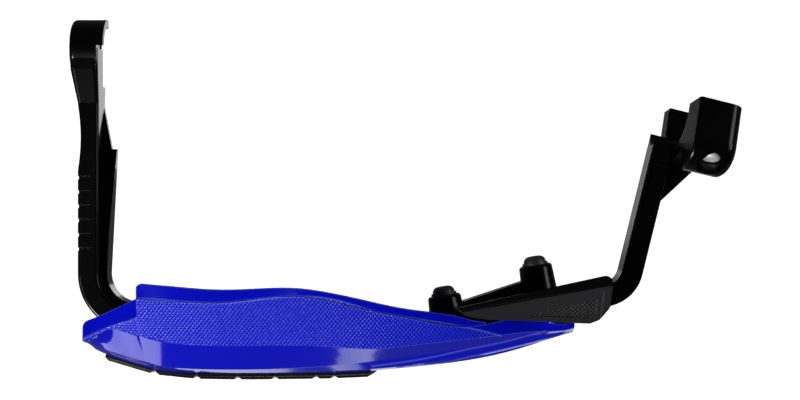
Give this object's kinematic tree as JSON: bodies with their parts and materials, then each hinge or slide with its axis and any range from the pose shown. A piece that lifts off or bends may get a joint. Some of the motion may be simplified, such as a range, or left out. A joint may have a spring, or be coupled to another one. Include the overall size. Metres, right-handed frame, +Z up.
{
  "type": "motorcycle hand guard",
  "caption": "Open motorcycle hand guard: a bowed spar with a bar-end eye and a handlebar saddle carries a creased wind shield, front pads and a textured end panel.",
  "frame": {"origin": "centre of the bar-end bolt hole, inside the eye of the outer arm", "axes": "+X inboard along the bar-end bolt hole, +Y to the rider, +Z up"},
  "size_m": [0.2538, 0.138, 0.0821],
  "materials": {
    "spar_plastic": "semi-gloss black moulded plastic",
    "shield_plastic": "glossy ultramarine, with a band of fine diamond texture along the top",
    "panel_plastic": "matte dark grey with a fine grain",
    "pad_plastic": "satin black",
    "dark_screw_steel": "dark brown phosphate",
    "bright_screw_steel": "bright zinc plate",
    "insert_brass": "plain turned brass"
  },
  "bodies": {
    "root": {"spar": "spar_plastic", "shield": "shield_plastic", "end_panel": "panel_plastic", "pad_1": "pad_plastic", "pad_2": "pad_plastic", "pad_3": "pad_plastic", "pad_4": "pad_plastic", "pad_5": "pad_plastic", "pad_6": "pad_plastic", "pad_7": "pad_plastic", "shield_screw_1": "dark_screw_steel", "shield_screw_2": "dark_screw_steel", "shield_screw_3": "dark_screw_steel", "shield_screw_4": "dark_screw_steel", "insert_1": "insert_brass", "insert_2": "insert_brass", "insert_3": "insert_brass", "insert_4": "insert_brass", "clamp_screw": "bright_screw_steel", "panel_screw_1": "dark_screw_steel", "panel_screw_2": "dark_screw_steel"}
  },
  "joints": []
}
